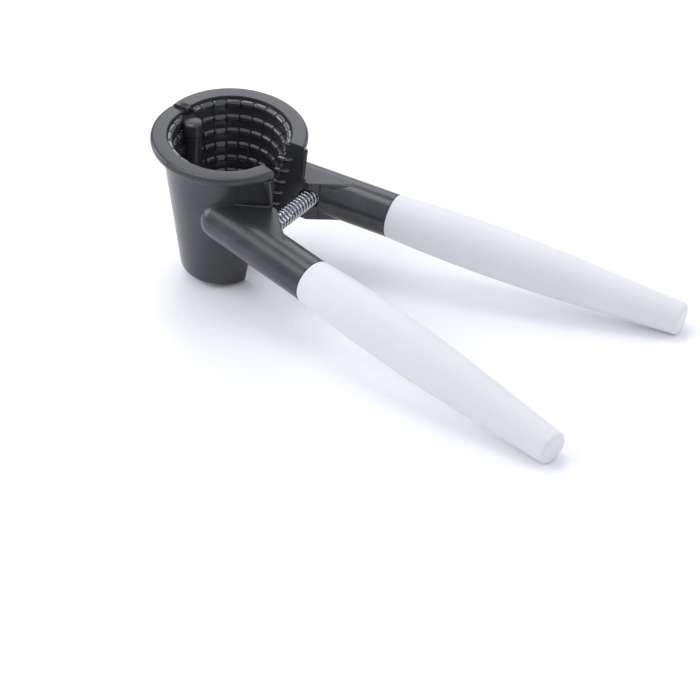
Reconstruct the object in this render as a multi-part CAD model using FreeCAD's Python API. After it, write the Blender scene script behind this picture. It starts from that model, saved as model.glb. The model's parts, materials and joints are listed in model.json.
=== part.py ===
"""Lever nutcracker press: two cast half cups on a hinge pin, a spring between them, two grips.

Millimetres, +Z up. Everything is first laid out with the cup upright and its axis on Z, the
two arms parallel and pointing along +X, and the mid plane of the tool at y = 0. Each side is
then swung open about the hinge pin, and the whole tool is tipped forward until it rests on
the front edge of the cup's base and on both grip tips, which is how it lies on a table.
"""

import FreeCAD, Part
import math
import os

Vector = FreeCAD.Vector
Z_AXIS = Vector(0, 0, 1)
Y_AXIS = Vector(0, 1, 0)
X_AXIS = Vector(1, 0, 0)

# Cup outside
cup_height = 54.0
rim_overhang = 3.7
rim_thickness = 3.0
rim_edge_round = 1.2
rim_cove = 1.8
body_top_radius = 21.3
body_base_radius = 13.7
base_edge_round = 2.5

# Cup inside, a stepped taper of undercut ledges that bite the shell
top_wall = 1.7
floor_thickness = 4.0
ledge_count = 10
first_ledge_depth = 1.3
first_ledge_reach = 1.7
last_ledge_height = 3.7
ledge_step_in = 0.95
ledge_undercut = 1.4
ledge_crest_round = 0.8
groove_count = 24
groove_depth = 1.1
groove_width = 1.3

# Parting faces of the two half cups, this far from the mid plane when the arms are parallel
near_face_setback = 2.0
far_face_setback = 4.1

# Lip at the mouth, out to the rim's edge; it leaves the round wall at one angle under the rim and
# at another lower down
lip_top_angle = 24.0
lip_bottom_angle = 56.0
lip_hollow = 0.5

# Hinge at the back of the cup, this far inside the top of the outer wall
hinge_inset = 5.5
barrel_radius = 3.2
barrel_clearance = 0.5
lug_inset = 0.2
lug_slant_limit = 0.97
pin_radius = 1.5
pin_running_clearance = 0.05
pin_end_round = 0.4
pin_cap = 1.0
heel_reach = 5.5
heel_clearance = 0.3
knuckle_gap = 0.3
upper_knuckle_lengths = [4.6, 14.0, 14.0]
hinge_bottom_height = 5.5

# Travel of each side from the parallel position
open_angle = 8.0

# Arms and grips; the spacing is taken where the arm ends and the grip begins
arm_spacing = 13.0
arm_splay = 1.2
arm_axis_height = 32.4
arm_radius = 7.5
arm_root_x = 12.0
arm_end_x = 55.0
web_corner_reach = 2.0
web_end_reach = 14.5
web_end_inset = 1.5
tang_radius = 4.0
tang_length = 62.0
tang_end_round = 1.5
bond_gap = 0.1
grip_length = 104.0
grip_swell_radius = 8.5
grip_swell_at = 33.0
grip_taper_radius = 7.55
grip_taper_from = 66.0
grip_tip_radius = 5.45
grip_tip_round = 1.4
grip_shoulder_round = 0.4

# Return spring, in a blind pocket in each jaw, beyond the rim and above the arm's axis
spring_reach = 1.4
spring_rise = 1.1
spring_outer_radius = 3.1
spring_wire_radius = 0.4
spring_wire_sides = 8
spring_turns = 24
pocket_clearance = 0.4
spring_end_gap = 0.1
pocket_floor_setback = 12.7

# Places that follow from the sizes above
rim_radius = body_top_radius + rim_overhang
hinge_offset = body_top_radius - hinge_inset
bore_radius = body_top_radius - top_wall
spring_x = rim_radius + spring_reach
spring_height = arm_axis_height + spring_rise
ledge_drop = cup_height - first_ledge_depth - floor_thickness - last_ledge_height
ledge_pitch = ledge_drop / (ledge_count - 1)


def solid_of_revolution(outline):
    """Spin a closed outline of (radius, height) points about the Z axis."""
    points = [Vector(radius, 0, height) for radius, height in outline]
    face = Part.Face(Part.makePolygon(points + points[:1]))
    return face.revolve(Vector(0, 0, 0), Z_AXIS, 360)


def prism(outline, low, high):
    """Raise a closed plan outline of (x, y) points from one height to another."""
    points = [Vector(x, y, low) for x, y in outline]
    face = Part.Face(Part.makePolygon(points + points[:1]))
    return face.extrude(Vector(0, 0, high - low))


def ring_edges(shape, radius, height):
    """The circular edges of a turned shape at one radius and height."""
    found = []
    for edge in shape.Edges:
        curve = edge.Curve
        if not isinstance(curve, Part.Circle):
            continue
        at_height = abs(curve.Center.z - height) < 0.001
        if at_height and abs(curve.Radius - radius) < 0.001:
            found.append(edge)
    return found


def body_radius_at(height):
    """Outside radius of the tapered body at one height."""
    share = height / (cup_height - rim_thickness)
    return body_base_radius + (body_top_radius - body_base_radius) * share


def cup_outside():
    """Solid taper with its rim, before it is hollowed and split."""
    rim_under = cup_height - rim_thickness
    outline = [
        (0, 0),
        (body_base_radius, 0),
        (body_top_radius, rim_under),
        (rim_radius, rim_under),
        (rim_radius, cup_height),
        (0, cup_height),
    ]
    cup = solid_of_revolution(outline)
    cup = cup.makeFillet(base_edge_round, ring_edges(cup, body_base_radius, 0))
    cup = cup.makeFillet(rim_cove, ring_edges(cup, body_top_radius, rim_under))
    outer_edges = ring_edges(cup, rim_radius, rim_under) + ring_edges(cup, rim_radius, cup_height)
    return cup.makeFillet(rim_edge_round, outer_edges)


def cup_inside():
    """The stepped hollow: round-crested ledges, each with a face that falls back to the next."""
    height = cup_height - first_ledge_depth
    radius = bore_radius - first_ledge_reach
    start = Vector(0, 0, cup_height)
    edges = []
    here = start
    for there in (Vector(bore_radius, 0, cup_height), Vector(bore_radius, 0, height)):
        edges.append(Part.makeLine(here, there))
        here = there
    for index in range(ledge_count):
        crest = Vector(radius + ledge_crest_round, 0, height)
        face_top = Vector(radius, 0, height - ledge_crest_round)
        edges.append(Part.makeLine(here, crest))
        edges.append(crest_arc(crest, face_top))
        height -= ledge_pitch
        radius -= ledge_step_in
        here = Vector(radius + ledge_undercut, 0, height)
        if index == ledge_count - 1:
            here = Vector(face_top.x, 0, floor_thickness)
        edges.append(Part.makeLine(face_top, here))
    centre = Vector(0, 0, floor_thickness)
    edges.append(Part.makeLine(here, centre))
    edges.append(Part.makeLine(centre, start))
    hollow = Part.Face(Part.Wire(edges)).revolve(Vector(0, 0, 0), Z_AXIS, 360)
    return hollow.fuse(crest_grooves())


def crest_arc(crest, face_top):
    """Quarter round over the crest of a ledge."""
    inset = ledge_crest_round * (1 - math.sqrt(0.5))
    middle = Vector(face_top.x + inset, 0, crest.z - inset)
    return Part.Arc(crest, middle, face_top).toShape()


def crest_grooves():
    """V grooves down the inside of the cup that notch every crest and fade out below it."""
    slope = ledge_step_in / ledge_pitch
    apex = bore_radius - first_ledge_reach + groove_depth + first_ledge_depth * slope
    section = [
        Vector(apex, 0, cup_height),
        Vector(apex - 2 * groove_depth, groove_width, cup_height),
        Vector(apex - 2 * groove_depth, -groove_width, cup_height),
    ]
    drop = first_ledge_depth + ledge_pitch * (ledge_count - 0.5)
    groove = Part.Face(Part.makePolygon(section + section[:1])).extrude(Vector(-drop * slope, 0, -drop))
    grooves = []
    for index in range(groove_count):
        turned = groove.copy()
        turned.rotate(Vector(0, 0, 0), Z_AXIS, 360 / groove_count * (index + 0.5))
        grooves.append(turned)
    return grooves


def lip_section(setback, angle, height):
    """Plan section of the mouth lip at one height, hollow from the round wall to the parting face."""
    wall = body_radius_at(height)
    turn = math.radians(angle)
    root = Vector(wall * math.cos(turn), wall * math.sin(turn), height)
    corner = Vector(rim_radius, setback, height)
    chord = corner - root
    hollow = Vector(chord.y, -chord.x, 0).normalize() * lip_hollow
    edges = [
        Part.Arc(root, (root + corner) * 0.5 + hollow, corner).toShape(),
        Part.makeLine(corner, Vector(0, setback, height)),
        Part.makeLine(Vector(0, setback, height), root),
    ]
    return Part.Wire(edges)


def mouth_lip(setback):
    """Thickened lip on the handle side, from the arm's height up to the underside of the rim."""
    bottom = lip_section(setback, lip_bottom_angle, arm_axis_height)
    top = lip_section(setback, lip_top_angle, cup_height - rim_thickness)
    return Part.makeLoft([bottom, top], True, True)


def arm_point(x):
    """Point on the axis of the arm, which leans outward from the mid plane."""
    inward = (arm_end_x - x) * math.tan(math.radians(arm_splay))
    return Vector(x, arm_spacing - inward, arm_axis_height)


def arm():
    """Round arm from the side of the cup to the shoulder that the grip butts against."""
    root = arm_point(arm_root_x)
    along = arm_point(arm_end_x) - root
    bar = Part.makeCylinder(arm_radius, along.Length, root, along)
    return bar.fuse(Part.makeSphere(arm_radius, root))


def web(setback):
    """Flat-topped web between the arm and the lip, as deep as the arm, with a slanted end."""
    end_x = rim_radius + web_end_reach
    outline = [
        (0, setback),
        (rim_radius + web_corner_reach, setback),
        (end_x, arm_spacing - web_end_inset),
        (end_x, arm_point(end_x).y),
        (0, arm_point(0).y),
    ]
    return prism(outline, arm_axis_height - arm_radius, arm_axis_height + arm_radius)


def tang():
    """Round tang that runs down inside the grip."""
    bar = Part.makeCylinder(tang_radius, tang_length, Vector(0, 0, 0), X_AXIS)
    end_edges = []
    for edge in bar.Edges:
        if isinstance(edge.Curve, Part.Circle) and edge.Curve.Center.x > tang_length / 2:
            end_edges.append(edge)
    return on_arm_end(bar.makeFillet(tang_end_round, end_edges))


def on_arm_end(shape):
    """Move a shape built along +X from the origin onto the end of the arm."""
    placed = shape.copy()
    placed.rotate(Vector(0, 0, 0), Z_AXIS, arm_splay)
    placed.translate(arm_point(arm_end_x))
    return placed


def knuckle_spans():
    """Low and high ends of the hinge knuckles, from the top one down."""
    spans = []
    high = cup_height - rim_thickness
    for length in upper_knuckle_lengths:
        spans.append((high - length, high))
        high -= length + knuckle_gap
    spans.append((hinge_bottom_height, high))
    return spans


def hinge_bar(radius, low, high):
    """Upright cylinder on the hinge axis."""
    return Part.makeCylinder(radius, high - low, Vector(-hinge_offset, 0, low), Z_AXIS)


def lug(low, high):
    """Tie from a knuckle to the cup wall, along the line that touches both round shapes.

    Where the wall swallows the barrel no such line exists, and the tie's back face slants
    as far as its limit.
    """
    barrel = barrel_radius - lug_inset
    wall = body_radius_at(low) - lug_inset
    share = min((wall - barrel) / hinge_offset, lug_slant_limit)
    rise = math.sqrt(1 - share**2)
    outline = [
        (-hinge_offset - barrel * share, barrel * rise),
        (-wall * share, wall * rise),
        (0, wall * rise),
        (0, 0),
        (-hinge_offset - barrel * share, 0),
    ]
    return prism(outline, low, high)


def opening_stop(low, high):
    """Heel behind the top knuckle; when the tool is open it meets the other jaw's face."""
    turn = math.radians(2 * open_angle)
    back = Vector(-math.cos(turn), math.sin(turn), 0)
    outward = Vector(math.sin(turn), math.cos(turn), 0)
    start = Vector(-hinge_offset, 0, 0) - outward * (near_face_setback - heel_clearance)
    end = start + back * heel_reach
    wall_y = far_face_setback + lug_inset
    outline = [(start.x, start.y), (end.x, end.y), (end.x, wall_y), (start.x, wall_y)]
    return prism(outline, low, high)


def beyond_face(setback):
    """Everything on the far side of a jaw's parting face."""
    reach = 2 * (arm_end_x + rim_radius)
    return Part.makeBox(2 * reach, reach, 2 * cup_height, Vector(-reach, setback - reach, -cup_height / 2))


def half_jaw(setback, own, others):
    """One casting on the +y side, carrying the knuckles named in own."""
    spans = knuckle_spans()
    hollow = cup_inside()
    jaw = cup_outside().fuse([mouth_lip(setback), arm(), web(setback)])
    jaw = jaw.cut(beyond_face(setback))
    barrels = []
    for index in own:
        barrels.append(hinge_bar(barrel_radius, *spans[index]))
        jaw = jaw.fuse(lug(*spans[index]))
    if 0 in own:
        jaw = jaw.fuse(opening_stop(*spans[0]))
    jaw = jaw.cut(hollow)
    for index in others:
        low, high = spans[index]
        room = hinge_bar(barrel_radius + barrel_clearance, low - knuckle_gap, high + knuckle_gap)
        jaw = jaw.cut(room)
    jaw = jaw.fuse(barrels + [tang()])
    return jaw.removeSplitter()


def swing(shape, side, angle):
    """Turn one side about the hinge axis; a positive angle opens it."""
    turned = shape.copy()
    turned.rotate(Vector(-hinge_offset, 0, 0), Z_AXIS, side * angle)
    return turned


def mirrored(shape):
    """The same shape on the other side of the mid plane."""
    return shape.mirror(Vector(0, 0, 0), Y_AXIS)


def grip():
    """Turned grip on the +y side, swelling and then tapering to a flat rounded tip."""
    shoulder = Vector(0, 0, arm_radius - grip_shoulder_round)
    start = Vector(grip_shoulder_round, 0, arm_radius)
    swell = Vector(grip_swell_at, 0, grip_swell_radius)
    taper = Vector(grip_taper_from, 0, grip_taper_radius)
    end = Vector(grip_length - grip_tip_round, 0, grip_tip_radius)
    tip = Vector(grip_length, 0, grip_tip_radius - grip_tip_round)
    socket_radius = tang_radius + bond_gap
    socket_depth = tang_length + bond_gap
    corners = [
        tip,
        Vector(grip_length, 0, 0),
        Vector(socket_depth, 0, 0),
        Vector(socket_depth, 0, socket_radius),
        Vector(0, 0, socket_radius),
        shoulder,
    ]
    edges = [
        round_corner(shoulder, start),
        level_arc(swell, start),
        level_arc(swell, taper),
        Part.makeLine(taper, end),
        round_corner(tip, end),
    ]
    for here, there in zip(corners, corners[1:]):
        edges.append(Part.makeLine(here, there))
    profile = Part.Wire(Part.__sortEdges__(edges))
    return on_arm_end(Part.Face(profile).revolve(Vector(0, 0, 0), X_AXIS, 360))


def level_arc(top, end):
    """Arc that runs level at the top of a swelling and falls away to a lower point."""
    run = end.x - top.x
    drop = top.z - end.z
    radius = (run**2 + drop**2) / (2 * drop)
    middle_drop = radius - math.sqrt(radius**2 - (run / 2) ** 2)
    middle = Vector(top.x + run / 2, 0, top.z - middle_drop)
    return Part.Arc(top, middle, end).toShape()


def round_corner(face_end, side_end):
    """Quarter round from a flat end face of the grip to its side."""
    diagonal = math.sqrt(0.5)
    reach = (side_end.x - face_end.x) * (1 - diagonal)
    rise = (side_end.z - face_end.z) * diagonal
    return Part.Arc(face_end, Vector(face_end.x + reach, 0, face_end.z + rise), side_end).toShape()


def pin():
    """Hinge pin with rounded ends, flush with the lowest knuckle and covered by the top one."""
    spans = knuckle_spans()
    bar = hinge_bar(pin_radius, spans[-1][0], spans[0][1] - pin_cap)
    return bar.makeChamfer(pin_end_round, [edge for edge in bar.Edges if isinstance(edge.Curve, Part.Circle)])


def pin_bore(radius):
    """Hole for the pin, open at the bottom of the stack and blind in the top knuckle."""
    return hinge_bar(radius, -cup_height, knuckle_spans()[0][1] - pin_cap)


def pocket_floor_y():
    """How far from the mid plane the floor of a spring pocket lies when the tool is open."""
    turn = math.radians(open_angle)
    arm_length = spring_x + hinge_offset
    return arm_length * math.sin(turn) + pocket_floor_setback * math.cos(turn)


def spring_pocket():
    """Blind hole for one end of the spring, in line with the open tool's spring."""
    floor_y = pocket_floor_y()
    start = Vector(open_spring_x(), 0, spring_height)
    hole = Part.makeCylinder(spring_outer_radius + pocket_clearance, floor_y, start, Y_AXIS)
    return swing(hole, 1, -open_angle)


def open_spring_x():
    """Where the spring's axis crosses the mid plane when the tool is open."""
    return (spring_x + hinge_offset) * math.cos(math.radians(open_angle)) - hinge_offset


def spring():
    """Compression spring along Y between the two pocket floors, with the tool open."""
    floor_y = pocket_floor_y()
    coil_radius = spring_outer_radius - spring_wire_radius
    height = 2 * (floor_y - spring_wire_radius) - 2 * spring_end_gap
    pitch = height / spring_turns
    path = Part.makeHelix(pitch, height, coil_radius)
    start = Vector(coil_radius, 0, 0)
    direction = Vector(0, 2 * math.pi * coil_radius, pitch)
    section = Part.makeCircle(spring_wire_radius, start, direction)
    rim = section.discretize(spring_wire_sides + 1)
    coil = Part.Wire(path.Edges).makePipeShell([Part.makePolygon(rim)], True, True)
    coil.rotate(Vector(0, 0, 0), X_AXIS, -90)
    coil.translate(Vector(open_spring_x(), -height / 2, spring_height))
    return coil


def lowest(shape, lean):
    """Height of the lowest point of a shape once the tool leans forward by an angle."""
    leaning = shape.copy()
    leaning.rotate(Vector(0, 0, 0), Y_AXIS, lean)
    return leaning.optimalBoundingBox(False, False).ZMin


def resting_lean(cup, handle):
    """Forward lean at which the cup's base edge and the grip tips touch one table."""
    low = 0.0
    high = 45.0
    for _ in range(24):
        lean = (low + high) / 2
        if lowest(handle, lean) > lowest(cup, lean):
            low = lean
        else:
            high = lean
    return (low + high) / 2


def build():
    """Every piece in its resting place, by name."""
    knuckle_count = len(knuckle_spans())
    near_knuckles = range(1, knuckle_count, 2)
    far_knuckles = range(0, knuckle_count, 2)
    pocket = spring_pocket()
    near = half_jaw(near_face_setback, near_knuckles, far_knuckles)
    near = near.cut([pocket, pin_bore(pin_radius)])
    far = half_jaw(far_face_setback, far_knuckles, near_knuckles)
    far = far.cut([pocket, pin_bore(pin_radius + pin_running_clearance)])
    handle = grip()
    pieces = {
        "near_jaw": swing(mirrored(near), -1, open_angle),
        "far_jaw": swing(far, 1, open_angle),
        "near_grip": swing(mirrored(handle), -1, open_angle),
        "far_grip": swing(handle, 1, open_angle),
        "hinge_pin": pin(),
        "return_spring": spring(),
    }
    foot = swing(cup_outside().cut(beyond_face(near_face_setback)), 1, open_angle)
    lean = resting_lean(foot, pieces["far_grip"])
    for shape in pieces.values():
        shape.rotate(Vector(0, 0, 0), Y_AXIS, lean)
    everything = Part.makeCompound(list(pieces.values()))
    box = everything.optimalBoundingBox(False, False)
    shift = Vector(-box.Center.x, -box.Center.y, -box.ZMin)
    for shape in pieces.values():
        shape.translate(shift)
    hinge = Vector(-hinge_offset, 0, cup_height)
    turn = FreeCAD.Rotation(Y_AXIS, lean)
    print("lean", lean, "shift", shift)
    print("hinge point", turn.multVec(hinge) + shift, "axis", turn.multVec(Z_AXIS))
    return pieces


os.makedirs("parts", exist_ok=True)
for name, shape in build().items():
    shape.exportStep(f"parts/{name}.step")
    box = shape.optimalBoundingBox(False, False)
    print(name, shape.isValid(), len(shape.Solids), round(shape.Volume, 1), box)
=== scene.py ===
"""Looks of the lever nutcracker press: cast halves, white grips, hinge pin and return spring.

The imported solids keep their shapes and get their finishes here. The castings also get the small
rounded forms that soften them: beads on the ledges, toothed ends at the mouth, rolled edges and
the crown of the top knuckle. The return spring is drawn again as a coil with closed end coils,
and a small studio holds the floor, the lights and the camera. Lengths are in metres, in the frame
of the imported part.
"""

import json
import logging
import math
from dataclasses import dataclass, field
from enum import Enum

import bmesh
import bpy
from mathutils import Matrix, Vector


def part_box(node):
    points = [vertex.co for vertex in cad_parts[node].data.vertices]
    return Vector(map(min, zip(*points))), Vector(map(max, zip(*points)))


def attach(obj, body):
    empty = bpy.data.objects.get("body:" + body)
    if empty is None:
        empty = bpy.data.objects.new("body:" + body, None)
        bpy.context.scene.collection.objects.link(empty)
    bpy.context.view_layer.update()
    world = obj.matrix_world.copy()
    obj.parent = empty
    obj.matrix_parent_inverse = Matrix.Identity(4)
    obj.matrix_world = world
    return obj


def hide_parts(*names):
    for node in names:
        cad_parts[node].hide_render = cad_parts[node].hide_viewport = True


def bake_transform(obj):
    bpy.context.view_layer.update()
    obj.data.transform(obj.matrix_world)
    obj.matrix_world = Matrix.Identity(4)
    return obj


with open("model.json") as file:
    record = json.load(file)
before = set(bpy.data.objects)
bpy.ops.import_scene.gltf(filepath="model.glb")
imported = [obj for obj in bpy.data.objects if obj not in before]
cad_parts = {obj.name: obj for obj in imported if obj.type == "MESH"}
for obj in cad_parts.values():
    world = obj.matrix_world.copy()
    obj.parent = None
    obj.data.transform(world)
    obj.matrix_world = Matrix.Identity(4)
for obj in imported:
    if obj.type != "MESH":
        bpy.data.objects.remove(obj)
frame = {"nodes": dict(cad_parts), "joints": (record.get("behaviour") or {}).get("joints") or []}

LOG = logging.getLogger("nutcracker")

Ring = list[Vector]
Run = list[Ring]
Colour = tuple[float, float, float]
Socket = bpy.types.NodeSocket

# Most of a noise pattern's values lie between these two.
PATTERN_LOW = 0.3
PATTERN_HIGH = 0.7

# Rays that each shaded point spends on finding the sharp edges round it.
EDGE_SAMPLES = 6

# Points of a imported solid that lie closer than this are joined.
WELD_DISTANCE = 0.000001

# Degrees in half a turn, which is what one half cup covers.
HALF_TURN = 180.0


def shares(steps: int) -> list[float]:
    """Return evenly spaced shares from 0 to 1, both included."""
    return [step / steps for step in range(steps + 1)]


def smooth(share: float) -> float:
    """Ease a share from 0 to 1 so that it starts and ends level."""
    return share * share * (3 - 2 * share)


def round_angles(sides: int) -> list[float]:
    """Return the angles of evenly spaced points round a circle, in radians."""
    return [2 * math.pi * side / sides for side in range(sides)]


class Side(Enum):
    """The two halves of the tool, by the name that starts each of their nodes."""

    NEAR = "near"
    FAR = "far"

    @property
    def body(self) -> str:
        """Name of the moving body that this half belongs to."""
        return f"{self.value}_side"

    @property
    def sign(self) -> float:
        """Direction in which this half lies from the middle of the tool, along Y."""
        return 1.0 if self is Side.FAR else -1.0


@dataclass(frozen=True)
class HalfPlace:
    """Where one half of the tool stands, opened about the hinge and leaned forward with it.

    Points are given in the half's own upright layout: x from the cup's axis towards the grips, y
    outward from the tool's mid plane and z up from the cup's base.

    Attributes:
        side: which half it is.
        hinge_to_axis: distance from the hinge to the cup's axis.
        cup_height: height of the rim's top, where the hinge's point lies.
        open_angle: swing of one half from where the two arms are parallel, in degrees.
    """

    side: Side
    hinge_to_axis: float = 0.0158
    cup_height: float = 0.054
    open_angle: float = 8.0

    def point(self, x: float, y: float, z: float) -> Vector:
        """Turn a point of the half's layout into the tool's frame.

        Args:
            x: distance from the cup's axis towards the grips.
            y: distance outward from the mid plane.
            z: height above the cup's base.

        Returns:
            The point in the tool's frame.
        """
        hinge = frame["joints"][0]
        up = Vector(hinge["axis"])
        forward = Vector((up.z, 0, -up.x))
        turn = math.radians(self.open_angle)
        reach = x + self.hinge_to_axis
        along = reach * math.cos(turn) - y * math.sin(turn)
        across = reach * math.sin(turn) + y * math.cos(turn)
        place = Vector(hinge["pos_m"]) + forward * along + up * (z - self.cup_height)
        return place + Vector((0, self.side.sign * across, 0))


class ShaderGraph:
    """A material under construction, with short calls for the nodes that the finishes share."""

    def __init__(self, name: str) -> None:
        """Start a material with one Principled shader.

        Args:
            name: name of the new material.
        """
        self.material = bpy.data.materials.new(name)
        self.material.use_nodes = True
        self.nodes = self.material.node_tree.nodes
        self.links = self.material.node_tree.links
        self.shader = self.nodes["Principled BSDF"]

    def set(self, **values: float | tuple[float, ...]) -> None:
        """Set constants on the shader's own sockets.

        Args:
            values: socket values by socket name, with underscores for spaces.
        """
        for name, value in values.items():
            self.shader.inputs[name.replace("_", " ")].default_value = value

    def feed(self, socket: str, value: Socket) -> None:
        """Link a value or colour into one of the shader's sockets."""
        self.links.new(value, self.shader.inputs[socket])

    def noise(self, scale: float, detail: float, stretch: tuple[float, float, float] = (1, 1, 1)) -> Socket:
        """Add a noise pattern fixed to the object.

        Args:
            scale: pattern cells per metre.
            detail: octaves of the pattern.
            stretch: factor on each axis before the pattern is read.

        Returns:
            The pattern's value, from 0 to 1.
        """
        position = self.nodes.new("ShaderNodeTexCoord").outputs["Object"]
        mapping = self.nodes.new("ShaderNodeMapping")
        mapping.inputs["Scale"].default_value = stretch
        self.links.new(position, mapping.inputs["Vector"])
        noise = self.nodes.new("ShaderNodeTexNoise")
        noise.inputs["Scale"].default_value = scale
        noise.inputs["Detail"].default_value = detail
        self.links.new(mapping.outputs["Vector"], noise.inputs["Vector"])
        return noise.outputs["Fac"]

    def spread(self, pattern: Socket, low: float, high: float) -> Socket:
        """Spread a noise pattern over another range.

        Args:
            pattern: value of the pattern.
            low: result at the pattern's low end.
            high: result at the pattern's high end.

        Returns:
            The spread value.
        """
        ramp = self.nodes.new("ShaderNodeMapRange")
        ramp.inputs["From Min"].default_value = PATTERN_LOW
        ramp.inputs["From Max"].default_value = PATTERN_HIGH
        ramp.inputs["To Min"].default_value = low
        ramp.inputs["To Max"].default_value = high
        self.links.new(pattern, ramp.inputs["Value"])
        return ramp.outputs["Result"]

    def tint(self, pattern: Socket, first: Colour, second: Colour) -> None:
        """Colour the surface with a mix of two colours by a noise pattern.

        Args:
            pattern: value of the pattern.
            first: linear colour at the pattern's low end.
            second: linear colour at its high end.
        """
        mix = self.nodes.new("ShaderNodeMix")
        mix.data_type = "RGBA"
        mix.inputs["A"].default_value = (*first, 1)
        mix.inputs["B"].default_value = (*second, 1)
        self.links.new(self.spread(pattern, 0.0, 1.0), mix.inputs["Factor"])
        self.feed("Base Color", mix.outputs["Result"])

    def bump(self, height: Socket, depth: float, edge_round: float) -> None:
        """Give the shader a bumpy normal over softly rounded edges.

        Args:
            height: pattern from 0 to 1 that stands for the surface's height.
            depth: height of the pattern in metres.
            edge_round: radius of the rounding on sharp edges in metres; 0 leaves them sharp.
        """
        bump = self.nodes.new("ShaderNodeBump")
        bump.inputs["Strength"].default_value = 1.0
        bump.inputs["Distance"].default_value = depth
        self.links.new(height, bump.inputs["Height"])
        if edge_round > 0:
            edge = self.nodes.new("ShaderNodeBevel")
            edge.samples = EDGE_SAMPLES
            edge.inputs["Radius"].default_value = edge_round
            self.links.new(edge.outputs["Normal"], bump.inputs["Normal"])
        self.feed("Normal", bump.outputs["Normal"])


@dataclass(frozen=True)
class CastingFinish:
    """Dark charcoal coat over a casting: semi-gloss, faintly grained, uneven in tone.

    Attributes:
        name: name of the material.
        dark: colour of the deeper patches.
        pale: colour of the lighter patches.
        gloss_low: roughness of the smoother patches.
        gloss_high: roughness of the duller patches.
        metal: how metallic the coat looks, from 0 to 1.
        lacquer: weight of the clear film on top.
        lacquer_gloss: roughness of that film.
        patches_per_metre: patches in a metre.
        grain_per_metre: grains in a metre.
        grain_depth: height of the grain.
        detail: octaves of both patterns.
        edge_round: radius over which sharp edges look worn round.
    """

    name: str = "cast_charcoal_coat"
    dark: Colour = (0.038, 0.039, 0.043)
    pale: Colour = (0.054, 0.055, 0.060)
    gloss_low: float = 0.20
    gloss_high: float = 0.29
    metal: float = 0.25
    lacquer: float = 0.0
    lacquer_gloss: float = 0.14
    patches_per_metre: float = 90.0
    grain_per_metre: float = 1500.0
    grain_depth: float = 0.00004
    detail: float = 3.0
    edge_round: float = 0.0005

    def material(self) -> bpy.types.Material:
        """Build the finish.

        Returns:
            The finish as a material.
        """
        graph = ShaderGraph(self.name)
        graph.set(Metallic=self.metal, IOR=1.5, Coat_Weight=self.lacquer, Coat_Roughness=self.lacquer_gloss)
        patches = graph.noise(self.patches_per_metre, self.detail)
        grain = graph.noise(self.grain_per_metre, self.detail)
        graph.tint(patches, self.dark, self.pale)
        graph.feed("Roughness", graph.spread(patches, self.gloss_low, self.gloss_high))
        graph.bump(grain, self.grain_depth, self.edge_round)
        return graph.material


@dataclass(frozen=True)
class GripFinish:
    """White moulded plastic with a matte skin and a fine moulded texture.

    Attributes:
        white: colour of the whiter patches.
        cream: colour of the duller patches.
        gloss: roughness of the skin.
        glow: weight of the light that passes through the plastic.
        glow_depth: how far that light goes in.
        patches_per_metre: patches in a metre.
        texture_per_metre: grains of the moulded texture in a metre.
        texture_depth: height of that texture.
        detail: octaves of both patterns.
        edge_round: radius over which sharp edges look round.
    """

    white: Colour = (0.71, 0.71, 0.72)
    cream: Colour = (0.68, 0.68, 0.695)
    gloss: float = 0.5
    glow: float = 0.15
    glow_depth: float = 0.002
    patches_per_metre: float = 45.0
    texture_per_metre: float = 2600.0
    texture_depth: float = 0.00002
    detail: float = 2.0
    edge_round: float = 0.0003

    def material(self) -> bpy.types.Material:
        """Build the finish.

        Returns:
            The finish as a material.
        """
        graph = ShaderGraph("white_grip_plastic")
        graph.set(Roughness=self.gloss, IOR=1.46)
        glow_reach = (self.glow_depth,) * 3
        graph.set(Subsurface_Weight=self.glow, Subsurface_Radius=glow_reach, Subsurface_Scale=1.0)
        patches = graph.noise(self.patches_per_metre, self.detail)
        skin = graph.noise(self.texture_per_metre, self.detail)
        graph.tint(patches, self.white, self.cream)
        graph.bump(skin, self.texture_depth, self.edge_round)
        return graph.material


@dataclass(frozen=True)
class SteelFinish:
    """Bare steel with fine marks that run one way.

    Attributes:
        name: name of the material.
        bright: colour between the marks.
        dull: colour of the marks.
        gloss_low: roughness between the marks.
        gloss_high: roughness of the marks.
        marks_per_metre: marks in a metre.
        marks_stretch: factor on each axis before the marks are drawn; a small one makes them long.
        marks_depth: height of the marks.
        detail: octaves of the marks.
        edge_round: radius over which sharp edges look round.
    """

    name: str
    bright: Colour
    dull: Colour
    gloss_low: float
    gloss_high: float
    marks_per_metre: float
    marks_stretch: tuple[float, float, float]
    detail: float
    edge_round: float
    marks_depth: float = 0.00001

    def material(self) -> bpy.types.Material:
        """Build the finish.

        Returns:
            The finish as a material.
        """
        graph = ShaderGraph(self.name)
        graph.set(Metallic=1.0)
        marks = graph.noise(self.marks_per_metre, self.detail, self.marks_stretch)
        graph.tint(marks, self.bright, self.dull)
        graph.feed("Roughness", graph.spread(marks, self.gloss_low, self.gloss_high))
        graph.bump(marks, self.marks_depth, self.edge_round)
        return graph.material


SPRING_WIRE = SteelFinish(
    name="bright_spring_wire",
    bright=(0.60, 0.61, 0.64),
    dull=(0.42, 0.43, 0.46),
    gloss_low=0.16,
    gloss_high=0.3,
    marks_per_metre=900.0,
    marks_stretch=(1, 0.2, 1),
    detail=3.0,
    edge_round=0.0,
)

GROUND_PIN = SteelFinish(
    name="ground_pin_steel",
    bright=(0.45, 0.45, 0.47),
    dull=(0.33, 0.33, 0.35),
    gloss_low=0.28,
    gloss_high=0.42,
    marks_per_metre=700.0,
    marks_stretch=(1, 1, 6),
    detail=4.0,
    edge_round=0.0002,
)


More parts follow.
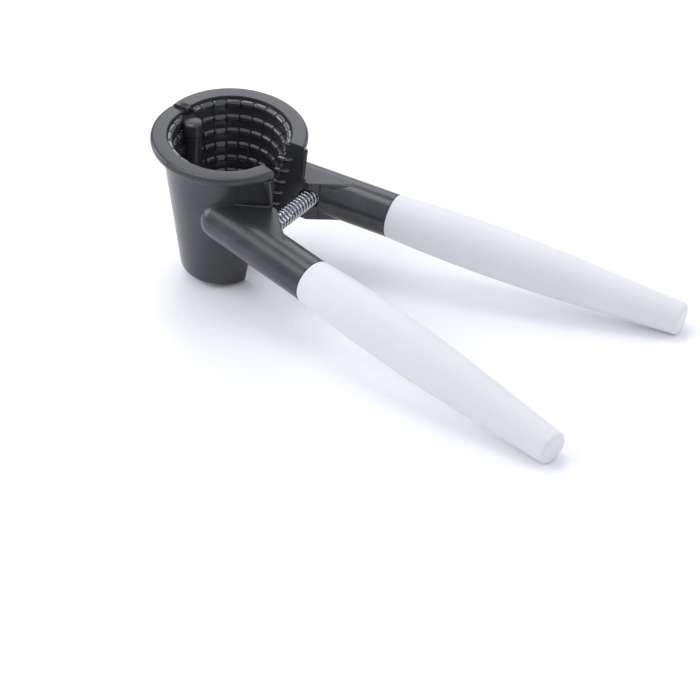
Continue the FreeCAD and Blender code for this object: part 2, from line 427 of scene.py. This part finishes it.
def dress_solid(name: str, material: bpy.types.Material, crease: float = 28.0) -> bpy.types.Object:
    """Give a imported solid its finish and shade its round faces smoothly.

    Args:
        name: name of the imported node.
        material: finish for the whole node.
        crease: angle in degrees above which an edge stays sharp.

    Returns:
        The dressed object.
    """
    solid = frame["nodes"][name]
    for index in range(len(solid.data.materials)):
        solid.data.materials[index] = material
    if not solid.data.materials:
        solid.data.materials.append(material)
    solid.data.polygons.foreach_set("use_smooth", [True] * len(solid.data.polygons))
    weld = solid.modifiers.new("join_seams", "WELD")
    weld.merge_threshold = WELD_DISTANCE
    split = solid.modifiers.new("keep_creases", "EDGE_SPLIT")
    split.split_angle = math.radians(crease)
    return solid


def skin_runs(name: str, runs: list[Run], material: bpy.types.Material) -> bpy.types.Object:
    """Skin runs of rings into closed forms that make one piece.

    Args:
        name: name of the new piece.
        runs: each run is a list of rings with as many points each; its two ends are capped.
        material: finish of the piece.

    Returns:
        The new piece, smooth along its sides and flat on its end caps.
    """
    mesh = bmesh.new()
    for run in runs:
        rings = [[mesh.verts.new(point) for point in ring] for ring in run]
        sides = len(rings[0])
        for here, there in zip(rings, rings[1:]):
            for step in range(sides):
                after = (step + 1) % sides
                face = mesh.faces.new((here[step], here[after], there[after], there[step]))
                face.smooth = True
        mesh.faces.new(list(reversed(rings[0])))
        mesh.faces.new(rings[-1])
    bmesh.ops.recalc_face_normals(mesh, faces=mesh.faces)
    data = bpy.data.meshes.new(name)
    mesh.to_mesh(data)
    mesh.free()
    data.materials.append(material)
    piece = bpy.data.objects.new(name, data)
    bpy.context.scene.collection.objects.link(piece)
    return piece


def skin_on_casting(
    place: HalfPlace,
    form: str,
    runs: list[Run],
    material: bpy.types.Material,
) -> bpy.types.Object:
    """Skin runs of rings into a piece that one half's casting carries.

    Args:
        place: where the half stands.
        form: name of the form, which follows the half's name in the piece's name.
        runs: runs of rings, as skin_runs takes them.
        material: finish of the piece.

    Returns:
        The new piece, which moves with its half.
    """
    piece = skin_runs(f"{place.side.value}_{form}", runs, material)
    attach(piece, place.side.body)
    return piece


@dataclass
class BitingLedges:
    """Rounded beads along the crests of the stepped ledges inside one half cup.

    Attributes:
        first_height: height of the top ledge's crest above the cup's base.
        first_radius: radius of the top ledge's crest.
        pitch: height from one ledge to the next.
        step_in: how much smaller each ledge is than the one above.
        count: number of ledges.
        notch_step: angle between notches, in degrees.
        notch_width: width of the gap that a notch leaves between two beads.
        bead: radius of a bead's section.
        end_share: radius at a bead's two ends, as a share of its full radius.
        end_power: how late a bead thins towards its ends; a larger power thins it later.
        crest_inset: how far a bead's middle lies behind and below its crest.
        face_clear: distance that the beads keep from the parting face.
        hinge_clear: distance from the mid plane that the beads keep beside the hinge.
        sides: points round a bead.
        steps: stretches along a bead.
    """

    first_height: float = 0.0527
    first_radius: float = 0.0179
    pitch: float = 0.005
    step_in: float = 0.00095
    count: int = 10
    notch_step: float = 15.0
    notch_width: float = 0.0001
    bead: float = 0.0013
    end_share: float = 0.72
    end_power: int = 6
    crest_inset: float = 0.0009
    face_clear: float = 0.000325
    hinge_clear: float = 0.0043
    sides: int = 14
    steps: int = 10

    def build(self, place: HalfPlace, setback: float, material: bpy.types.Material) -> bpy.types.Object:
        """Make the beads of one half.

        Args:
            place: where the half stands.
            setback: distance of the half's parting face from the mid plane.
            material: finish of the ledges.

        Returns:
            The beads as one piece.
        """
        runs = []
        for ledge in range(self.count):
            radius = self.first_radius - ledge * self.step_in + self.crest_inset
            height = self.first_height - ledge * self.pitch - self.crest_inset
            gap = self.notch_width / 2 / radius
            stops = self.stops(radius, setback)
            for start, end in zip(stops, stops[1:]):
                if (end - start) * radius > 2 * self.bead:
                    runs.append(self.bead_run(place, radius, height, start + gap, end - gap))
        return skin_on_casting(place, "biting_ledges", runs, material)

    def stops(self, radius: float, setback: float) -> list[float]:
        """Find where the beads of one ledge meet, from the mouth round to the hinge.

        Args:
            radius: radius of the beads' middle line.
            setback: distance of the half's parting face from the mid plane.

        Returns:
            Angles about the cup's axis, in radians.
        """
        first = math.asin((setback + self.face_clear) / radius)
        last = math.pi - math.asin(self.hinge_clear / radius)
        notches = round(HALF_TURN / self.notch_step)
        angles = [math.radians(self.notch_step * (notch + 0.5)) for notch in range(notches)]
        return [first] + [angle for angle in angles if first < angle < last] + [last]

    def bead_run(self, place: HalfPlace, radius: float, height: float, start: float, end: float) -> Run:
        """Shape one bead, full in the middle and thinner at both ends.

        Args:
            place: where the half stands.
            radius: radius of the bead's middle line.
            height: height of that line.
            start: angle where the bead starts, in radians.
            end: angle where it ends.

        Returns:
            The rings of the bead, closer together towards its ends.
        """
        run = []
        for share in shares(self.steps):
            swing = math.cos(math.pi * share)
            turn = start + (end - start) * (1 - swing) / 2
            fill = math.sqrt(1 - abs(swing) ** self.end_power)
            size = self.bead * (self.end_share + (1 - self.end_share) * fill)
            ring = []
            for angle in round_angles(self.sides):
                reach = radius + size * math.cos(angle)
                level = height + size * math.sin(angle)
                ring.append(place.point(reach * math.cos(turn), reach * math.sin(turn), level))
            run.append(ring)
        return run


@dataclass
class WebEdges:
    """Rounded edges of one half's lip and web.

    A roll runs down the lip's corner, a fillet along the lip's foot, and the web's slanted end
    swells beside the arm.

    Attributes:
        top: height of the web's flat top.
        depth: height of the web's end from its top to its underside.
        corner: x of the web's corner on the parting face.
        end: x and y where the slanted end meets the arm.
        lip_foot: x and y where the lip leaves the round wall at the web's top.
        lip_corner: x where the lip meets the parting face.
        lip_top: height of the lip's top, under the rim.
        lip_roll: radius of the roll down the lip's corner, at its top and at its foot.
        fillet: radius of the fillet at the lip's foot.
        fillet_share: radius where the fillet starts, as a share of its full radius.
        fillet_power: how soon the fillet reaches its full radius; a larger power reaches it sooner.
        swell: how far the slanted end swells beside the arm.
        swell_share: swell at the spring, as a share of the full one.
        swell_from: share of the slanted end, from its corner, that stays flat round the spring.
        swell_to: where the swell ends, inside the arm, as a share of the slanted end.
        swell_sink: how far the swell's back lies in the web.
        sides: points round the fillet and stretches over the swell; the lip's roll has twice as many.
        steps: stretches along each form.
    """

    top: float = 0.0399
    depth: float = 0.015
    corner: float = 0.027
    end: tuple[float, float] = (0.0395, 0.0115)
    lip_foot: tuple[float, float] = (0.0140, 0.0127)
    lip_corner: float = 0.025
    lip_top: float = 0.0511
    lip_roll: tuple[float, float] = (0.0017, 0.0005)
    fillet: float = 0.0006
    fillet_share: float = 0.3
    fillet_power: int = 4
    swell: float = 0.0026
    swell_share: float = 0.08
    swell_from: float = 0.26
    swell_to: float = 1.1
    swell_sink: float = 0.001
    sides: int = 12
    steps: int = 14

    def build(self, place: HalfPlace, setback: float, material: bpy.types.Material) -> bpy.types.Object:
        """Make the three forms of one half.

        Args:
            place: where the half stands.
            setback: distance of the half's parting face from the mid plane.
            material: finish of the casting.

        Returns:
            The three forms as one piece.
        """
        roll = self.lip_run(place, setback)
        fillet = self.fillet_run(place, setback)
        swell = self.swell_run(place, setback)
        return skin_on_casting(place, "web_edges", [roll, fillet, swell], material)

    def lip_run(self, place: HalfPlace, setback: float) -> Run:
        """Shape the roll down the lip's corner, which thins towards its foot.

        Args:
            place: where the half stands.
            setback: distance of the half's parting face from the mid plane.

        Returns:
            The rings of the roll.
        """
        run = []
        for share in shares(self.steps):
            size = self.lip_roll[0] + (self.lip_roll[1] - self.lip_roll[0]) * share
            height = self.lip_top + (self.top - self.lip_top) * share
            ring = []
            for angle in round_angles(2 * self.sides):
                x = self.lip_corner - size + size * math.cos(angle)
                y = setback + size + size * math.sin(angle)
                ring.append(place.point(x, y, height))
            run.append(ring)
        return run

    def fillet_run(self, place: HalfPlace, setback: float) -> Run:
        """Shape the thin round fillet along the foot of the lip.

        Args:
            place: where the half stands.
            setback: distance of the half's parting face from the mid plane.

        Returns:
            The rings of the fillet.
        """
        start = Vector((*self.lip_foot, self.top))
        end = Vector((self.lip_corner, setback + self.fillet, self.top))
        along = (end - start).normalized()
        side = Vector((-along.y, along.x, 0))
        up = Vector((0, 0, 1))
        run = []
        for share in shares(self.steps):
            middle = start.lerp(end, share)
            fill = math.sqrt(1 - (1 - share) ** self.fillet_power)
            size = self.fillet * (self.fillet_share + (1 - self.fillet_share) * fill)
            ring = []
            for angle in round_angles(self.sides):
                ring.append(place.point(*(middle + (side * math.cos(angle) + up * math.sin(angle)) * size)))
            run.append(ring)
        return run

    def swell_run(self, place: HalfPlace, setback: float) -> Run:
        """Shape the swell over the web's slanted end, which grows from the corner towards the arm.

        Args:
            place: where the half stands.
            setback: distance of the half's parting face from the mid plane.

        Returns:
            The rings of the swell, each a half ellipse closed by one point inside the web.
        """
        corner = Vector((self.corner, setback, self.top - self.depth / 2))
        end = Vector((*self.end, self.top - self.depth / 2))
        along = (end - corner).normalized()
        outward = Vector((along.y, -along.x, 0))
        run = []
        for share in shares(self.steps):
            middle = corner.lerp(end, self.swell_from + (self.swell_to - self.swell_from) * share)
            size = self.swell * (self.swell_share + (1 - self.swell_share) * smooth(share))
            ring = []
            for rise in shares(self.sides):
                angle = math.pi * (rise - 0.5)
                spot = middle + outward * size * math.cos(angle)
                spot.z += self.depth / 2 * math.sin(angle)
                ring.append(place.point(*spot))
            ring.append(place.point(*(middle - outward * self.swell_sink)))
            run.append(ring)
        return run


@dataclass
class MouthTeeth:
    """Toothed ends of the far half's ledges, which stand out of its parting face at the mouth.

    Attributes:
        ledges: the ledges that the teeth continue.
        top_ledges: ledges at the top that end in the rim and have no tooth.
        reach: length of a tooth, outward from its ledge's crest.
        lead: how far a tooth starts inside its crest.
        rise: how far a tooth stands out of the parting face.
        drop: height of a tooth.
        end_share: height at a tooth's thin end, as a share of its full height.
        end_power: how late a tooth sinks into the face; a larger power sinks it later.
        nose: radius of a tooth's edge.
        sink: how far a tooth goes into the casting.
        sides: stretches round a tooth's edge.
        steps: stretches along a tooth.
    """

    ledges: BitingLedges = field(default_factory=BitingLedges)
    top_ledges: int = 1
    reach: float = 0.0044
    lead: float = 0.0008
    rise: float = 0.0019
    drop: float = 0.0042
    end_share: float = 0.5
    end_power: int = 3
    nose: float = 0.0004
    sink: float = 0.0006
    sides: int = 6
    steps: int = 8

    def build(self, place: HalfPlace, setback: float, material: bpy.types.Material) -> bpy.types.Object:
        """Make one tooth for each ledge that doesn't end in the rim.

        Args:
            place: where the half stands.
            setback: distance of the half's parting face from the mid plane.
            material: finish of the ledges.

        Returns:
            The teeth as one piece.
        """
        runs = []
        for ledge in range(self.top_ledges, self.ledges.count):
            radius = self.ledges.first_radius - ledge * self.ledges.step_in
            height = self.ledges.first_height - ledge * self.ledges.pitch
            start = math.sqrt(radius**2 - setback**2) - self.lead
            run = []
            for share in shares(self.steps):
                x = start + (self.lead + self.reach) * share
                outline = self.outline(setback, share)
                run.append([place.point(x, y, height + z) for y, z in outline])
            runs.append(run)
        return skin_on_casting(place, "mouth_teeth", runs, material)

    def outline(self, setback: float, share: float) -> list[tuple[float, float]]:
        """Draw a tooth's section, flat on top and slanted back below.

        Args:
            setback: distance of the parting face from the mid plane.
            share: how far along the tooth the section is, from 0 to 1 at its thin end.

        Returns:
            Pairs of y and height above the tooth's flat top.
        """
        rise = self.rise * (1 - share**self.end_power) - self.nose * share
        drop = self.drop * (1 - (1 - self.end_share) * share)
        points = [(setback + self.sink, 0.0)]
        for round_share in shares(self.sides):
            angle = math.pi / 2 * (1 + round_share)
            y = setback - rise + self.nose + self.nose * math.cos(angle)
            points.append((y, -self.nose + self.nose * math.sin(angle)))
        points.append((setback + self.sink, -drop))
        return points


@dataclass
class BaseRoll:
    """Round roll down the front edge of the near half's wall, under the web.

    Attributes:
        base: radius of the cup's base.
        flare: how much the wall's radius grows in a metre of height.
        base_round: radius of the base's rounded edge.
        low: height of the roll's lower end.
        high: height of its upper end, inside the web.
        roll: radius of the roll.
        end_share: radius at the roll's lower end, as a share of its full radius.
        inset_share: how far behind the parting face the roll's middle lies, in radii of the roll.
        sides: points round the roll.
        steps: stretches along it.
    """

    base: float = 0.0137
    flare: float = 0.149
    base_round: float = 0.0025
    low: float = 0.0003
    high: float = 0.0262
    roll: float = 0.0021
    end_share: float = 0.45
    inset_share: float = 0.15
    sides: int = 24
    steps: int = 20

    def build(self, place: HalfPlace, setback: float, material: bpy.types.Material) -> bpy.types.Object:
        """Make the roll, with its rings closer together where the base's edge is round.

        Args:
            place: where the half stands.
            setback: distance of the half's parting face from the mid plane.
            material: finish of the casting.

        Returns:
            The roll as one piece.
        """
        middle = setback + self.roll * self.inset_share
        run = []
        for share in shares(self.steps):
            height = self.low + (self.high - self.low) * share**2
            shortfall = max(1 - height / self.base_round, 0.0)
            fill = math.sqrt(1 - shortfall**2)
            wall = self.base + self.flare * height - self.base_round * (1 - fill)
            size = self.roll * (self.end_share + (1 - self.end_share) * fill)
            centre = math.sqrt(wall**2 - middle**2) - size
            ring = []
            for angle in round_angles(self.sides):
                x = centre + size * math.cos(angle)
                ring.append(place.point(x, middle + size * math.sin(angle), height))
            run.append(ring)
        return skin_on_casting(place, "base_roll", [run], material)


@dataclass
class RimEnd:
    """End of the far half's rim beside the hinge, which reaches towards the near half's rim.

    Attributes:
        bore: inner radius of the rim.
        rim: outer radius of the rim.
        thickness: height of the rim.
        corner: radius of the rim's rounded outer corners.
        overlap: how far the end starts inside the casting.
        reach: distance from the mid plane at which the rim ends.
        steps: stretches along the end and round each corner.
    """

    bore: float = 0.0196
    rim: float = 0.025
    thickness: float = 0.003
    corner: float = 0.0012
    overlap: float = 0.0002
    reach: float = 0.0019
    steps: int = 6

    def build(self, place: HalfPlace, setback: float, material: bpy.types.Material) -> bpy.types.Object:
        """Make the rim's end.

        Args:
            place: where the half stands.
            setback: distance of the half's parting face from the mid plane.
            material: finish of the casting.

        Returns:
            The rim's end as one piece.
        """
        start = setback + self.overlap
        run = []
        for share in shares(self.steps):
            out = start + (self.reach - start) * share
            outline = self.outline(place.cup_height)
            run.append([place.point(-math.sqrt(radius**2 - out**2), out, z) for radius, z in outline])
        return skin_on_casting(place, "rim_end", [run], material)

    def outline(self, top: float) -> list[tuple[float, float]]:
        """Draw the rim's section, square inside and rounded outside.

        Args:
            top: height of the rim's top.

        Returns:
            Pairs of radius and height.
        """
        underside = top - self.thickness
        points = [(self.bore, top), (self.bore, underside)]
        for middle, first in ((underside + self.corner, -math.pi / 2), (top - self.corner, 0.0)):
            for share in shares(self.steps):
                angle = first + math.pi / 2 * share
                radius = self.rim - self.corner + self.corner * math.cos(angle)
                points.append((radius, middle + self.corner * math.sin(angle)))
        return points


@dataclass
class KnuckleCrown:
    """Crown of the far half's top knuckle, over a skirt that covers the knuckle's foot.

    Attributes:
        skirt: radius of the skirt, which keeps clear of the near casting.
        skirt_low: height of the skirt's underside.
        skirt_high: height at which the skirt starts to draw in.
        crown: radius of the crown.
        crown_low: height at which the crown stands upright.
        crown_shoulder: height at which the crown's dome starts.
        crown_top: height of the dome's top.
        dome_share: share of the quarter turn to the dome's top at which its last ring lies.
        sides: points round the crown.
        steps: stretches up the dome.
    """

    skirt: float = 0.00355
    skirt_low: float = 0.04645
    skirt_high: float = 0.0470
    crown: float = 0.00328
    crown_low: float = 0.0480
    crown_shoulder: float = 0.05085
    crown_top: float = 0.05165
    dome_share: float = 0.97
    sides: int = 40
    steps: int = 10

    def build(self, place: HalfPlace, material: bpy.types.Material) -> bpy.types.Object:
        """Make the crown about the hinge's axis.

        Args:
            place: where the half stands.
            material: finish of the casting.

        Returns:
            The crown and its skirt as one piece.
        """
        run = []
        for radius, height in self.profile():
            ring = []
            for angle in round_angles(self.sides):
                x = radius * math.cos(angle) - place.hinge_to_axis
                ring.append(place.point(x, radius * math.sin(angle), height))
            run.append(ring)
        return skin_on_casting(place, "knuckle_crown", [run], material)

    def profile(self) -> list[tuple[float, float]]:
        """Draw the profile from the skirt's underside up to the dome's top.

        Returns:
            Pairs of radius and height.
        """
        levels = [(self.skirt, self.skirt_low), (self.skirt, self.skirt_high), (self.crown, self.crown_low)]
        for share in shares(self.steps):
            angle = math.pi / 2 * share * self.dome_share
            rise = (self.crown_top - self.crown_shoulder) * math.sin(angle)
            levels.append((self.crown * math.cos(angle), self.crown_shoulder + rise))
        return levels


@dataclass
class CastHalves:
    """The two cast half cups with their arms, webs, biting ledges and hinge knuckles.

    Attributes:
        setbacks: distance of each half's parting face from the mid plane.
        finish: coat of both castings.
        ledge_finish: glossier coat on the ledges, which nutshells rub smooth.
    """

    setbacks: dict[Side, float] = field(default_factory=lambda: {Side.NEAR: 0.0020, Side.FAR: 0.0041})
    finish: CastingFinish = field(default_factory=CastingFinish)
    ledge_finish: CastingFinish = field(
        default_factory=lambda: CastingFinish(
            name="rubbed_ledge_coat",
            gloss_low=0.16,
            gloss_high=0.24,
            lacquer=1.0,
            grain_depth=0.00002,
            edge_round=0.0,
        )
    )

    def build(self) -> list[bpy.types.Object]:
        """Dress both castings and add the rounded forms that they carry.

        Returns:
            The castings and their forms.
        """
        coat = self.finish.material()
        rubbed = self.ledge_finish.material()
        pieces = []
        for side, setback in self.setbacks.items():
            place = HalfPlace(side)
            pieces.append(dress_solid(f"{side.value}_jaw", coat))
            pieces.append(BitingLedges().build(place, setback, rubbed))
            pieces.append(WebEdges().build(place, setback, coat))
        near = HalfPlace(Side.NEAR)
        far = HalfPlace(Side.FAR)
        pieces.append(MouthTeeth().build(far, self.setbacks[Side.FAR], rubbed))
        pieces.append(BaseRoll().build(near, self.setbacks[Side.NEAR], coat))
        pieces.append(RimEnd().build(far, self.setbacks[Side.FAR], coat))
        pieces.append(KnuckleCrown().build(far, coat))
        return pieces


@dataclass
class Grips:
    """The two turned white grips on the arms.

    Attributes:
        finish: plastic of both grips.
    """

    finish: GripFinish = field(default_factory=GripFinish)

    def build(self) -> list[bpy.types.Object]:
        """Dress both grips and return them."""
        material = self.finish.material()
        return [dress_solid(f"{side.value}_grip", material) for side in Side]


@dataclass
class HingePin:
    """The pin through the knuckles.

    Attributes:
        finish: steel of the pin.
    """

    finish: SteelFinish = GROUND_PIN

    def build(self) -> list[bpy.types.Object]:
        """Dress the pin and return it."""
        return [dress_solid("hinge_pin", self.finish.material())]


@dataclass
class ReturnSpring:
    """Coil spring between the webs, with closed end coils.

    Attributes:
        wire: radius of the wire.
        turns: number of coils, the closed ones included.
        closed_turns: coils at each end that lie against each other.
        steps: points along each coil.
        sides: points round the wire.
        finish: steel of the wire.
    """

    wire: float = 0.0004
    turns: float = 24.0
    closed_turns: float = 1.25
    steps: int = 32
    sides: int = 10
    finish: SteelFinish = SPRING_WIRE

    def build(self) -> list[bpy.types.Object]:
        """Sweep the wire along the coil, finish it and hide the imported spring.

        Returns:
            The coil alone, in a list.
        """
        low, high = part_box("return_spring")
        coil = skin_runs("return_spring_coil", [self.wire_run(low, high)], self.finish.material())
        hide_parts("return_spring")
        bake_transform(coil)
        return [coil]

    def wire_run(self, low: Vector, high: Vector) -> Run:
        """Put a ring of the wire round each point of its middle line.

        Args:
            low: lowest corner of the spring's box.
            high: highest corner of the spring's box.

        Returns:
            The rings of the wire.
        """
        middle = (low + high) / 2
        points = self.centre_line(low, high)
        run = []
        for index, point in enumerate(points):
            ahead = points[min(index + 1, len(points) - 1)]
            behind = points[max(index - 1, 0)]
            along = (ahead - behind).normalized()
            outward = Vector((point.x - middle.x, 0, point.z - middle.z)).normalized()
            side = along.cross(outward).normalized()
            outward = side.cross(along)
            ring = []
            for angle in round_angles(self.sides):
                ring.append(point + (outward * math.cos(angle) + side * math.sin(angle)) * self.wire)
            run.append(ring)
        return run

    def centre_line(self, low: Vector, high: Vector) -> list[Vector]:
        """Follow the middle of the wire from the near pocket to the far one.

        Args:
            low: lowest corner of the spring's box.
            high: highest corner of the spring's box.

        Returns:
            Points along the wire.
        """
        middle = (low + high) / 2
        radius = (high.x - low.x) / 2 - self.wire
        start = low.y + self.wire
        length = high.y - low.y - 2 * self.wire
        shut = 2 * self.wire
        open_turns = self.turns - 2 * self.closed_turns
        open_pitch = (length - 2 * self.closed_turns * shut) / open_turns
        points = []
        for share in shares(round(self.turns * self.steps)):
            turn = self.turns * share
            first = min(turn, self.closed_turns)
            last = max(turn - (self.turns - self.closed_turns), 0.0)
            along = (first + last) * shut + (turn - first - last) * open_pitch
            angle = 2 * math.pi * turn
            across = Vector((radius * math.cos(angle), 0, radius * math.sin(angle)))
            points.append(Vector((middle.x, start + along, middle.z)) + across)
        return points


@dataclass(frozen=True)
class SoftLight:
    """Square soft light that faces the tool.

    Attributes:
        name: name of the light.
        place: where it hangs.
        size: length of its side.
        power: power in watts.
    """

    name: str
    place: tuple[float, float, float]
    size: float
    power: float

    def hang(self) -> None:
        """Hang the light in the scene."""
        lamp = bpy.data.lights.new(self.name, "AREA")
        lamp.size = self.size
        lamp.energy = self.power
        light = bpy.data.objects.new(self.name, lamp)
        light.location = self.place
        light.rotation_euler = (-Vector(self.place)).to_track_quat("-Z", "Y").to_euler()
        bpy.context.scene.collection.objects.link(light)


@dataclass
class Studio:
    """Plain pale floor, soft lights and the camera at the photograph's viewing angle.

    Attributes:
        lights: the soft lights round the tool.
        sky_colour: colour of the even light from all round.
        sky_strength: strength of that light.
        paper: colour of the floor.
        paper_gloss: roughness of the floor.
        paper_shine: level of the floor's mirrored light.
        floor_reach: distance from the tool to the floor's edges.
        camera_place: where the camera stands.
        camera_right: direction of the picture's right edge.
        camera_up: direction of the picture's top edge.
        lens: focal length in millimetres.
        film_width: width of the camera's film in millimetres.
        nearest: distance at which the camera starts to see.
    """

    lights: tuple[SoftLight, ...] = (
        SoftLight("window_left", (-0.80, -0.25, 0.40), 0.5, 2.8),
        SoftLight("window_behind", (-0.45, 0.75, 0.60), 0.6, 2.0),
        SoftLight("window_right", (0.70, 0.50, 0.50), 0.5, 1.6),
        SoftLight("window_front", (-0.43, -0.50, 0.75), 0.4, 1.0),
        SoftLight("overhead", (-0.20, 0.10, 0.97), 0.4, 2.0),
    )
    sky_colour: Colour = (0.93, 0.95, 1.04)
    sky_strength: float = 0.76
    paper: Colour = (0.93, 0.93, 0.95)
    paper_gloss: float = 0.9
    paper_shine: float = 0.1
    floor_reach: float = 4.0
    camera_place: tuple[float, float, float] = (0.385655, -0.49728, 0.426228)
    camera_right: tuple[float, float, float] = (0.808151, 0.582953, -0.084011)
    camera_up: tuple[float, float, float] = (-0.278939, 0.504454, 0.817141)
    lens: float = 117.617
    film_width: float = 36.0
    nearest: float = 0.01

    def build(self) -> list[bpy.types.Object]:
        """Make the floor, the lights and the camera.

        Returns:
            The floor alone, in a list.
        """
        floor = self.floor()
        self.sky()
        for light in self.lights:
            light.hang()
        self.camera()
        return [floor]

    def floor(self) -> bpy.types.Object:
        """Make the plain pale floor.

        Returns:
            The floor.
        """
        mesh = bmesh.new()
        bmesh.ops.create_grid(mesh, x_segments=2, y_segments=2, size=self.floor_reach)
        data = bpy.data.meshes.new("studio_floor")
        mesh.to_mesh(data)
        mesh.free()
        graph = ShaderGraph("studio_paper")
        graph.set(Base_Color=(*self.paper, 1))
        graph.set(Roughness=self.paper_gloss, Specular_IOR_Level=self.paper_shine)
        data.materials.append(graph.material)
        floor = bpy.data.objects.new("studio_floor", data)
        bpy.context.scene.collection.objects.link(floor)
        return floor

    def sky(self) -> None:
        """Light the scene evenly from all round."""
        world = bpy.data.worlds.new("studio_sky")
        world.use_nodes = True
        background = world.node_tree.nodes["Background"]
        background.inputs["Color"].default_value = (*self.sky_colour, 1)
        background.inputs["Strength"].default_value = self.sky_strength
        bpy.context.scene.world = world
        bpy.context.scene.view_settings.view_transform = "Standard"

    def camera(self) -> None:
        """Stand the camera where the photograph was taken from."""
        right = Vector(self.camera_right).normalized()
        up = Vector(self.camera_up)
        up = (up - right * up.dot(right)).normalized()
        back = right.cross(up)
        turn = Matrix((right, up, back)).transposed().to_4x4()
        data = bpy.data.cameras.new("photo_camera")
        data.lens = self.lens
        data.sensor_width = self.film_width
        data.clip_start = self.nearest
        camera = bpy.data.objects.new("photo_camera", data)
        camera.matrix_world = Matrix.Translation(self.camera_place) @ turn
        bpy.context.scene.collection.objects.link(camera)
        bpy.context.scene.camera = camera


def main() -> None:
    """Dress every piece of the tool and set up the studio."""
    logging.basicConfig(level=logging.INFO, format="%(message)s")
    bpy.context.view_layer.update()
    for group in (CastHalves(), Grips(), HingePin(), ReturnSpring(), Studio()):
        for piece in group.build():
            LOG.info("%s: %s", type(group).__name__, piece.name)


if __name__ == "__main__":
    main()
